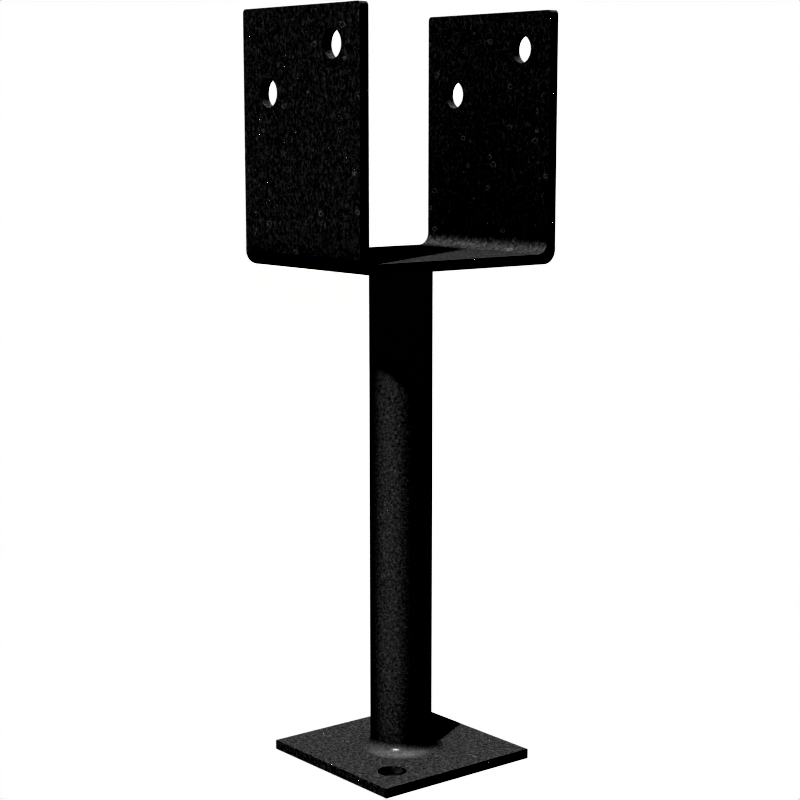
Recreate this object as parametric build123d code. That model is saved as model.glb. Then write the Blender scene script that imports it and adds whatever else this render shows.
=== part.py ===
from build123d import *

import math
import os

# A bolt-down post support: a steel strip folded into a U, welded on top of a round stem,
# which is welded to a square foot plate. All sizes are in millimetres.
#
# +Z is up, X runs from leg to leg, Y runs along the folds, and the origin is the centre of
# the foot plate's underside.

# The strip that is folded into the stirrup. The folds are pressed full, so that their outside
# radius is well under the inside radius and a thickness.
STRIP_WIDTH = 100.0
STRIP_THICKNESS = 5.0
FOLD_INSIDE_RADIUS = 7.0
FOLD_OUTSIDE_RADIUS = 7.5
LEG_CORNER_RADIUS = 2.0

# The post that stands between the legs, and how far the legs reach up beside it.
POST_WIDTH = 120.0
POST_CLEARANCE = 0.5
SEAT_TO_LEG_TOP = 127.5

# The cross-bolt holes, which run in line through both legs.
CROSS_HOLE_DIAMETER = 15.0
CROSS_HOLE_FROM_SIDE = 22.5
UPPER_HOLE_FROM_TOP = 19.5
LOWER_HOLE_FROM_TOP = 43.0

# The tube that carries the stirrup.
STEM_DIAMETER = 33.7
STEM_WALL = 3.2
STEM_LENGTH = 269.0

# The foot plate, with an anchor hole at two opposite corners.
PLATE_SIDE = 100.0
PLATE_THICKNESS = 5.0
ANCHOR_HOLE_DIAMETER = 15.0
ANCHOR_HOLE_FROM_SIDE = 19.5

# The welds. The foot weld is a hollow-faced fillet. The head weld fills a bevel on the
# stem's upper end, flush with the tube, down to an unbevelled root face.
FOOT_WELD_LEG = 7.0
FOOT_WELD_TOE_ANGLE = 3.0
HEAD_WELD_ROOT_FACE = 1.0
HEAD_BEVEL_ANGLE = 45.0

# Worked out from the sizes above.
STEM_RADIUS = STEM_DIAMETER / 2
STEM_TOP = PLATE_THICKNESS + STEM_LENGTH
SEAT_HEIGHT = STEM_TOP + STRIP_THICKNESS
LEG_TOP = SEAT_HEIGHT + SEAT_TO_LEG_TOP
INSIDE_HALF_WIDTH = POST_WIDTH / 2 + POST_CLEARANCE
OUTSIDE_HALF_WIDTH = INSIDE_HALF_WIDTH + STRIP_THICKNESS
CROSS_HOLE_Y = STRIP_WIDTH / 2 - CROSS_HOLE_FROM_SIDE
ANCHOR_HOLE_OFFSET = PLATE_SIDE / 2 - ANCHOR_HOLE_FROM_SIDE
BEVEL_DEPTH = STEM_WALL - HEAD_WELD_ROOT_FACE
BEVEL_HEIGHT = BEVEL_DEPTH * math.tan(math.radians(HEAD_BEVEL_ANGLE))


def u_line(half_width, floor, radius):
    """The U from one leg top, round both folds, to the other leg top, in the XZ plane."""
    return FilletPolyline(
        (-half_width, LEG_TOP),
        (-half_width, floor),
        (half_width, floor),
        (half_width, LEG_TOP),
        radius=radius,
    )


def make_stirrup():
    """The folded strip, with rounded leg corners and a staggered pair of holes in each leg."""
    with BuildPart() as stirrup:
        with BuildSketch(Plane.XZ):
            with BuildLine():
                outside = u_line(OUTSIDE_HALF_WIDTH, STEM_TOP, FOLD_OUTSIDE_RADIUS)
                inside = u_line(INSIDE_HALF_WIDTH, SEAT_HEIGHT, FOLD_INSIDE_RADIUS)
                Line(outside @ 0, inside @ 0)
                Line(outside @ 1, inside @ 1)
            make_face()
        extrude(amount=STRIP_WIDTH / 2, both=True)
        leg_corners = stirrup.edges().filter_by(Axis.X).group_by(Axis.Z)[-1]
        fillet(leg_corners, LEG_CORNER_RADIUS)
        with BuildSketch(Plane.YZ):
            with Locations(
                (-CROSS_HOLE_Y, LEG_TOP - UPPER_HOLE_FROM_TOP),
                (CROSS_HOLE_Y, LEG_TOP - LOWER_HOLE_FROM_TOP),
            ):
                Circle(CROSS_HOLE_DIAMETER / 2)
        extrude(amount=OUTSIDE_HALF_WIDTH, both=True, mode=Mode.SUBTRACT)
    return stirrup.part


def make_stem():
    """The tube between plate and stirrup, bevelled outside at its upper end for the weld."""
    with BuildPart() as stem:
        with BuildSketch(Plane.XY.offset(PLATE_THICKNESS)):
            Circle(STEM_RADIUS)
            Circle(STEM_RADIUS - STEM_WALL, mode=Mode.SUBTRACT)
        extrude(amount=STEM_LENGTH)
        outer_rim = stem.faces().sort_by(Axis.Z)[-1].outer_wire().edges()
        chamfer(outer_rim, length=BEVEL_DEPTH, angle=HEAD_BEVEL_ANGLE)
    return stem.part


def make_base_plate():
    """The square plate, drilled at two opposite corners."""
    with BuildPart() as plate:
        with BuildSketch(Plane.XY):
            Rectangle(PLATE_SIDE, PLATE_SIDE)
            with Locations(
                (-ANCHOR_HOLE_OFFSET, -ANCHOR_HOLE_OFFSET),
                (ANCHOR_HOLE_OFFSET, ANCHOR_HOLE_OFFSET),
            ):
                Circle(ANCHOR_HOLE_DIAMETER / 2, mode=Mode.SUBTRACT)
        extrude(amount=PLATE_THICKNESS)
    return plate.part


def plane_on_stem(height):
    """The upright plane whose origin is on the stem's surface at that height."""
    return Plane(origin=(STEM_RADIUS, 0, height), x_dir=(1, 0, 0), z_dir=(0, -1, 0))


def make_foot_weld():
    """The hollow-faced ring of weld in the corner between stem and plate."""
    half_turn = math.radians(45.0 - FOOT_WELD_TOE_ANGLE)
    half_chord = FOOT_WELD_LEG / math.sqrt(2)
    hollow = half_chord * math.tan(half_turn / 2)
    middle = (FOOT_WELD_LEG - hollow * math.sqrt(2)) / 2
    with BuildPart() as weld:
        with BuildSketch(plane_on_stem(PLATE_THICKNESS)):
            with BuildLine():
                Polyline((0, FOOT_WELD_LEG), (0, 0), (FOOT_WELD_LEG, 0))
                ThreePointArc((FOOT_WELD_LEG, 0), (middle, middle), (0, FOOT_WELD_LEG))
            make_face()
        revolve(axis=Axis.Z)
    return weld.part


def make_head_weld():
    """The ring of weld that fills the stem's bevel, under the stirrup."""
    with BuildPart() as weld:
        with BuildSketch(plane_on_stem(STEM_TOP)):
            with BuildLine():
                Polyline((0, 0), (0, -BEVEL_HEIGHT), (-BEVEL_DEPTH, 0), close=True)
            make_face()
        revolve(axis=Axis.Z)
    return weld.part


PIECES = {
    "stirrup": make_stirrup,
    "stem": make_stem,
    "base_plate": make_base_plate,
    "foot_weld": make_foot_weld,
    "head_weld": make_head_weld,
}

os.makedirs("parts", exist_ok=True)
for name, make_piece in PIECES.items():
    export_step(make_piece(), f"parts/{name}.step")
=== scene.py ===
import math

import bpy
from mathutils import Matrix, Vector


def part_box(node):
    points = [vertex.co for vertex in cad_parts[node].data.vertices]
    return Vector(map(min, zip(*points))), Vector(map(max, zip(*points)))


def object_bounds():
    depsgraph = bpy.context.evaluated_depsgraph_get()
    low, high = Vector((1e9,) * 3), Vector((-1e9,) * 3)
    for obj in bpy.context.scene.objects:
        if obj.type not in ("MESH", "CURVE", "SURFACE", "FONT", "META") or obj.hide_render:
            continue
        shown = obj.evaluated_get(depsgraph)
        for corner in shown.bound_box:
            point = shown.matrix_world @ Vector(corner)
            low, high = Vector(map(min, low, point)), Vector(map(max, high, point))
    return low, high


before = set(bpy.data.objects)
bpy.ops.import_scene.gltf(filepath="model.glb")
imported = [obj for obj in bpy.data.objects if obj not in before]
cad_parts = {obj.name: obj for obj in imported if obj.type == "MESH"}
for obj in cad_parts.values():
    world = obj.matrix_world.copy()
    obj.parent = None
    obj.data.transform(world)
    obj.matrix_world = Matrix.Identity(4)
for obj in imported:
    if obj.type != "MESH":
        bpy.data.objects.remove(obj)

# The looks of a bolt-down post support: five welded steel pieces under one black powder coat,
# in a catalogue picture with hard contrast. The CAD pieces are dressed where they stand, and no
# geometry is added to them. Lengths are in metres and angles in degrees.

CAD_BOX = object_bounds()

MM = 0.001


# ---------------------------------------------------------------- node helpers


def new_material(name):
    """An empty node material, with its tree and a Principled shader already on the output."""
    material = bpy.data.materials.new(name)
    material.use_nodes = True
    tree = material.node_tree
    tree.nodes.clear()
    shader = tree.nodes.new("ShaderNodeBsdfPrincipled")
    output = tree.nodes.new("ShaderNodeOutputMaterial")
    tree.links.new(shader.outputs["BSDF"], output.inputs["Surface"])
    return material, tree, shader


def object_point(tree, scale):
    """The point on the piece, scaled along each axis: under 1 draws a pattern out that way."""
    place = tree.nodes.new("ShaderNodeTexCoord")
    mapping = tree.nodes.new("ShaderNodeMapping")
    mapping.inputs["Scale"].default_value = scale
    tree.links.new(place.outputs["Object"], mapping.inputs["Vector"])
    return mapping.outputs["Vector"]


def noise(tree, point, size, detail, roughness=0.5, distortion=0.0):
    """Soft noise whose blobs are about that many metres across."""
    node = tree.nodes.new("ShaderNodeTexNoise")
    node.inputs["Scale"].default_value = 1 / size
    node.inputs["Detail"].default_value = detail
    node.inputs["Roughness"].default_value = roughness
    node.inputs["Distortion"].default_value = distortion
    tree.links.new(point, node.inputs["Vector"])
    return node.outputs["Fac"]


def ramp(tree, value, stops):
    """A smooth map from value to grey, through (place, grey) stops."""
    node = tree.nodes.new("ShaderNodeValToRGB")
    node.color_ramp.interpolation = "EASE"
    elements = node.color_ramp.elements
    while len(elements) < len(stops):
        elements.new(1.0)
    for element, (place, grey) in zip(elements, stops):
        element.position = place
        element.color = (grey, grey, grey, 1.0)
    tree.links.new(value, node.inputs["Fac"])
    return node.outputs["Color"]


def spots(tree, point, spacing, profile):
    """Round marks strewn in space, spacing apart, through (radius, height) stops."""
    node = tree.nodes.new("ShaderNodeTexVoronoi")
    node.inputs["Scale"].default_value = 1 / spacing
    tree.links.new(point, node.inputs["Vector"])
    stops = [(radius / spacing, height) for radius, height in profile]
    return ramp(tree, node.outputs["Distance"], stops)


def add_up(tree, a, b, share):
    """a plus share times b."""
    node = tree.nodes.new("ShaderNodeMath")
    node.operation = "MULTIPLY_ADD"
    tree.links.new(b, node.inputs[0])
    node.inputs[1].default_value = share
    tree.links.new(a, node.inputs[2])
    return node.outputs["Value"]


def product(tree, a, b):
    """a times b."""
    node = tree.nodes.new("ShaderNodeMath")
    node.operation = "MULTIPLY"
    tree.links.new(a, node.inputs[0])
    tree.links.new(b, node.inputs[1])
    return node.outputs["Value"]


def between(tree, value, low, high):
    """Maps 0 to 1 onto low to high, and goes on beyond them."""
    node = tree.nodes.new("ShaderNodeMapRange")
    node.inputs["To Min"].default_value = low
    node.inputs["To Max"].default_value = high
    node.clamp = False
    tree.links.new(value, node.inputs["Value"])
    return node.outputs["Result"]


def vector_math(tree, operation, a, b=(0.0, 0.0, 0.0)):
    """One operation on a vector socket and, where it takes two, a fixed vector."""
    node = tree.nodes.new("ShaderNodeVectorMath")
    node.operation = operation
    tree.links.new(a, node.inputs[0])
    node.inputs[1].default_value = b
    return node.outputs["Value" if operation == "LENGTH" else "Vector"]


def from_line(tree, x, z):
    """The distance from the two level lines along Y at height z, x either side of the middle."""
    place = tree.nodes.new("ShaderNodeTexCoord")
    mirrored = vector_math(tree, "ABSOLUTE", place.outputs["Object"])
    away = vector_math(tree, "SUBTRACT", mirrored, (x, 0, z))
    across = vector_math(tree, "MULTIPLY", away, (1, 0, 1))
    return vector_math(tree, "LENGTH", across)


def bump(tree, shader, height, depth):
    """Raises the surface by height times depth metres, as far as light can tell."""
    node = tree.nodes.new("ShaderNodeBump")
    node.inputs["Distance"].default_value = depth
    tree.links.new(height, node.inputs["Height"])
    tree.links.new(node.outputs["Normal"], shader.inputs["Normal"])


# ---------------------------------------------------------------- the black coating

# The coat's colour at shade 1. Each piece's shade sets its coat a little apart in brightness to
# make up for how the lights fall on it: painted shade, most of all on the welds.
BLACK = 0.020

# The mottle's make-up; each coat sets its size.
MOTTLE_DETAIL = 2.0
MOTTLE_ROUGHNESS = 0.6
MOTTLE_DISTORTION = 0.6

# The marks: how far apart they are, and their height at each radius.
RING_SPACING = 11.7 * MM
RING_SCALE = (1.0, 0.65, 1.0)
RING_PROFILE = ((0, 0.3), (0.7 * MM, 0.2), (1.2 * MM, 1.0), (1.9 * MM, 0.0))
SPECK_SPACING = 7.0 * MM
SPECK_PROFILE = ((0, 1.0), (0.8 * MM, 0.0))
SPECK_SHARE = 0.3

# The wide patches in which the roughness strays from its mean.
PATCH_SIZE = 9 * MM
PATCH_DETAIL = 3.0
ROUGHNESS_SPREAD = 0.04

# Painted shade in the folds: the stirrup's brightness at each distance from the line on which a
# leg's inner face and the seat would meet if the fold were sharp, darker inside the fold where
# shade falls.
FOLD_PAINTED_SHADE = ((0.0, 0.896), (4 * MM, 0.896), (9 * MM, 1.0))

# The strip is as thick as the foot plate.
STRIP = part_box("base_plate")[1][2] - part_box("base_plate")[0][2]


def coating(name, shade, contrast, grain, upright, texture_depth, roughness, marks):
    """Black powder coat: a fine mottled texture, with sparse rings and specks in it.

    grain is the mottle's size, upright how far it is drawn out in height, and marks the rings'
    share in it.
    """
    material, tree, shader = new_material(name)
    point = object_point(tree, (1.0, 1.0, 1.0 / upright))
    mottle = noise(tree, point, grain, MOTTLE_DETAIL, MOTTLE_ROUGHNESS, MOTTLE_DISTORTION)
    rings = spots(tree, object_point(tree, RING_SCALE), RING_SPACING, RING_PROFILE)
    specks = spots(tree, point, SPECK_SPACING, SPECK_PROFILE)
    height = add_up(tree, add_up(tree, mottle, rings, marks), specks, SPECK_SHARE)
    middle = BLACK * shade
    tone = between(tree, height, middle * (1 - contrast), middle * (1 + contrast))
    tree.links.new(tone, shader.inputs["Base Color"])
    bump(tree, shader, height, texture_depth)
    patches = noise(tree, point, PATCH_SIZE, PATCH_DETAIL)
    low, high = roughness - ROUGHNESS_SPREAD, roughness + ROUGHNESS_SPREAD
    tree.links.new(between(tree, patches, low, high), shader.inputs["Roughness"])
    return material, tree, shader, tone


def stirrup_coating():
    """The stirrup's coat, with painted shade that darkens it a little inside the folds."""
    material, tree, shader, tone = coating(
        "stirrup_black",
        shade=0.92,
        contrast=0.35,
        grain=1.65 * MM,
        upright=1.3,
        texture_depth=0.1 * MM,
        roughness=0.48,
        marks=0.28,
    )
    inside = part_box("stirrup")[1][0] - STRIP
    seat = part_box("stirrup")[0][2] + STRIP
    # Painted shade: the coat is darkened near the inner folds.
    painted_fold_shade = ramp(tree, from_line(tree, inside, seat), FOLD_PAINTED_SHADE)
    tree.links.new(product(tree, tone, painted_fold_shade), shader.inputs["Base Color"])
    return material


def stem_coating():
    """The stem's coat, which has a finer grain and fainter marks."""
    return coating(
        "stem_black",
        shade=0.93,
        contrast=0.29,
        grain=1.3 * MM,
        upright=1.0,
        texture_depth=0.065 * MM,
        roughness=0.48,
        marks=0.12,
    )[0]


def plate_coating():
    """The foot plate's coat, which is the most strongly mottled."""
    return coating(
        "plate_black",
        shade=0.92,
        contrast=0.37,
        grain=1.7 * MM,
        upright=1.0,
        texture_depth=0.11 * MM,
        roughness=0.48,
        marks=0.2,
    )[0]


def weld_coating():
    """The welds' coat, which is smooth, shinier and without marks."""
    return coating(
        "weld_black",
        # Painted shade: the welds' coat is set darker than the others' to stand in for less light
        # on them.
        shade=0.82,
        contrast=0.15,
        grain=1.7 * MM,
        upright=1.0,
        texture_depth=0.0,
        roughness=0.2,
        marks=0.0,
    )[0]


def dress(node, material):
    """Gives the CAD node its coat, and keeps it out of the other pieces' reflections."""
    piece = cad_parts[node]
    piece.data.materials.clear()
    piece.data.materials.append(material)
    piece.visible_glossy = False


def dress_all():
    """Coats every piece; the two welds share one coat."""
    weld = weld_coating()
    for node, material in (
        ("stirrup", stirrup_coating()),
        ("stem", stem_coating()),
        ("base_plate", plate_coating()),
        ("foot_weld", weld),
        ("head_weld", weld),
    ):
        dress(node, material)


# ---------------------------------------------------------------- floor, light and camera

# The level that the print shows as white: the floor's, and the world's to the camera.
WHITE = 1.0

# The key sun, which the other suns on the coat are shares of, the even light from all round, and
# how bright the surroundings are in the coat's gloss.
KEY = 97.0
FILL = 5.25
GLOSS = 0.73

# The sheets under the part. They lie just below it, so that they never cut into it. The smaller
# one is a painted shadow: a dimly glowing square under the foot plate.
FLOOR_HALF = 6.0
FLOOR_HEIGHT = -0.2 * MM
PAINTED_SHADOW_INSET = MM
PAINTED_SHADOW_HEIGHT = -0.1 * MM
PAINTED_SHADOW_LEVEL = 0.52

# The camera. The target is on the stem's axis, at that share of the part's height.
VIEW_AZIMUTH = 38.795
VIEW_ELEVATION = 9.809
VIEW_DISTANCE = 1.01396
TARGET_SHARE = 0.44007
SENSOR_WIDTH_MM = 36.0
LENS_MM = 83.867
SHIFT_X = -0.0011
SHIFT_Y = 0.0482

# The print. Levels under the black point are black, and the toe eases the first greys in.
DISPLAY_GAMMA = 2.2
BLACK_POINT = 0.25
ALL_CHANNELS = 3
TOE = ((0.2, 0.0), (0.232, 0.0028), (0.252, 0.011), (0.272, 0.0296), (0.3, 0.0645))


def lay_sheet(name, half, height, brightness):
    """A level square sheet that glows evenly, takes no shadow and is clear from underneath."""
    mesh = bpy.data.meshes.new(name)
    square = ((-half, -half), (half, -half), (half, half), (-half, half))
    mesh.from_pydata([(x, y, height) for x, y in square], [], [(0, 1, 2, 3)])
    sheet = bpy.data.objects.new(name, mesh)
    bpy.context.scene.collection.objects.link(sheet)
    material, tree, shader = new_material(name)
    shader.inputs["Base Color"].default_value = (0.0, 0.0, 0.0, 1.0)
    shader.inputs["Specular IOR Level"].default_value = 0.0
    shader.inputs["Emission Color"].default_value = (1.0, 1.0, 1.0, 1.0)
    shader.inputs["Emission Strength"].default_value = brightness
    side = tree.nodes.new("ShaderNodeNewGeometry")
    clear = tree.nodes.new("ShaderNodeBsdfTransparent")
    mix = tree.nodes.new("ShaderNodeMixShader")
    tree.links.new(side.outputs["Backfacing"], mix.inputs[0])
    tree.links.new(shader.outputs["BSDF"], mix.inputs[1])
    tree.links.new(clear.outputs["BSDF"], mix.inputs[2])
    tree.links.new(mix.outputs["Shader"], tree.nodes["Material Output"].inputs["Surface"])
    # It lights nothing, so it isn't sampled as a light.
    material.cycles.emission_sampling = "NONE"
    mesh.materials.append(material)
    sheet.visible_diffuse = False
    sheet.visible_glossy = False
    sheet.visible_shadow = False


def make_floor():
    """A pale floor, and a dim sheet of painted shadow under the foot plate, so that the anchor
    holes are dark.
    """
    lay_sheet("pale_floor", FLOOR_HALF, FLOOR_HEIGHT, WHITE)
    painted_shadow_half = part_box("base_plate")[1][0] - PAINTED_SHADOW_INSET
    # Painted shadow: a dim glowing sheet stands in for the foot plate's shadow on the floor.
    lay_sheet("painted_plate_shadow", painted_shadow_half, PAINTED_SHADOW_HEIGHT, PAINTED_SHADOW_LEVEL)


def aim(azimuth, elevation):
    """The direction in which light or view travels: azimuth from +Y towards +X, downwards."""
    a, e = math.radians(azimuth), math.radians(elevation)
    return Vector((math.sin(a) * math.cos(e), math.cos(a) * math.cos(e), -math.sin(e)))


def add_sun(name, azimuth, elevation, strength, size):
    """A far light of that angular size."""
    data = bpy.data.lights.new(name, "SUN")
    data.energy = strength
    data.angle = math.radians(size)
    sun = bpy.data.objects.new(name, data)
    sun.rotation_euler = aim(azimuth, elevation).to_track_quat("-Z", "Y").to_euler()
    bpy.context.scene.collection.objects.link(sun)
    return sun


def group_of(name, nodes):
    """A collection of those CAD nodes, for the lights that fall on them alone."""
    group = bpy.data.collections.new(name)
    for node in nodes:
        group.objects.link(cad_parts[node])
    return group


def add_open_lights():
    """The hard key from the front left, and a weak sun from above that throws no shadow."""
    key = add_sun("key", 61.0, 45.6, KEY, 5.0)
    key.visible_glossy = False
    top = add_sun("top", 0.0, 90.0, 0.13 * KEY, 10.0)
    top.visible_glossy = False
    top.data.use_shadow = False


def add_weld_gloss():
    """The bright point and the wide sheen in the foot weld's gloss."""
    foot_weld = group_of("glint", ("foot_weld",))
    for name, azimuth, elevation, strength, size in (
        ("glint", 60.4, 47.5, 0.8, 15.0),
        ("inner_sheen", -59.6, 68.7, 0.27, 40.0),
        ("sheen", -59.6, 68.7, 0.6, 70.0),
        ("outer_sheen", -59.6, 68.7, 1.2, 110.0),
    ):
        gloss = add_sun(name, azimuth, elevation, strength, size)
        gloss.visible_diffuse = False
        gloss.light_linking.receiver_collection = foot_weld


def add_back_lights():
    """Suns for what the key misses: from behind, with one for the stem alone, and from below.

    The one from below is small, or it would reach the stem through the anchor holes.
    """
    for name, strength, nodes in (
        ("back", 0.95 * KEY, ("stirrup", "base_plate", "foot_weld", "head_weld")),
        ("stem_back", 0.74 * KEY, ("stem",)),
    ):
        back = add_sun(name, 225.0, -8.0, strength, 10.0)
        back.visible_glossy = False
        back.light_linking.receiver_collection = group_of(name, nodes)
    under = add_sun("under", 0.0, -90.0, 0.7 * KEY, 8.0)
    under.visible_glossy = False


def light_world():
    """White where the camera looks past the floor, an even soft fill, and hardly a reflection."""
    world = bpy.data.worlds.new("studio")
    world.use_nodes = True
    bpy.context.scene.world = world
    tree = world.node_tree
    tree.nodes.clear()
    path = tree.nodes.new("ShaderNodeLightPath")
    output = tree.nodes.new("ShaderNodeOutputWorld")

    def background(strength):
        node = tree.nodes.new("ShaderNodeBackground")
        node.inputs["Color"].default_value = (1.0, 1.0, 1.0, 1.0)
        node.inputs["Strength"].default_value = strength
        return node.outputs["Background"]

    def choose(ray, otherwise, chosen):
        node = tree.nodes.new("ShaderNodeMixShader")
        tree.links.new(path.outputs[ray], node.inputs[0])
        tree.links.new(otherwise, node.inputs[1])
        tree.links.new(chosen, node.inputs[2])
        return node.outputs["Shader"]

    fill = choose("Is Diffuse Ray", background(GLOSS), background(FILL))
    surface = choose("Is Camera Ray", fill, background(WHITE))
    tree.links.new(surface, output.inputs["Surface"])


def add_camera():
    """The camera stands off the stem's axis and looks slightly down on it."""
    lowest, highest = CAD_BOX
    height = highest[2] - lowest[2]
    view = aim(VIEW_AZIMUTH, VIEW_ELEVATION)
    target = Vector((0, 0, lowest[2] + TARGET_SHARE * height))
    data = bpy.data.cameras.new("camera")
    data.sensor_width = SENSOR_WIDTH_MM
    data.lens = LENS_MM
    data.shift_x = SHIFT_X
    data.shift_y = SHIFT_Y
    camera = bpy.data.objects.new("camera", data)
    camera.location = target - view * VIEW_DISTANCE
    camera.rotation_euler = view.to_track_quat("-Z", "Y").to_euler()
    bpy.context.scene.collection.objects.link(camera)
    bpy.context.scene.camera = camera


def grade():
    """A hard print: black up to the black point, and grey rising evenly from there to white."""
    settings = bpy.context.scene.view_settings
    settings.view_transform = "Standard"
    settings.gamma = 1 / DISPLAY_GAMMA
    settings.use_curve_mapping = True
    mapping = settings.curve_mapping
    mapping.black_level = (BLACK_POINT, BLACK_POINT, BLACK_POINT)
    mapping.white_level = (WHITE, WHITE, WHITE)
    for place, level in TOE:
        mapping.curves[ALL_CHANNELS].points.new(place, level)
    mapping.update()


dress_all()
make_floor()
add_open_lights()
add_weld_gloss()
add_back_lights()
light_world()
add_camera()
grade()
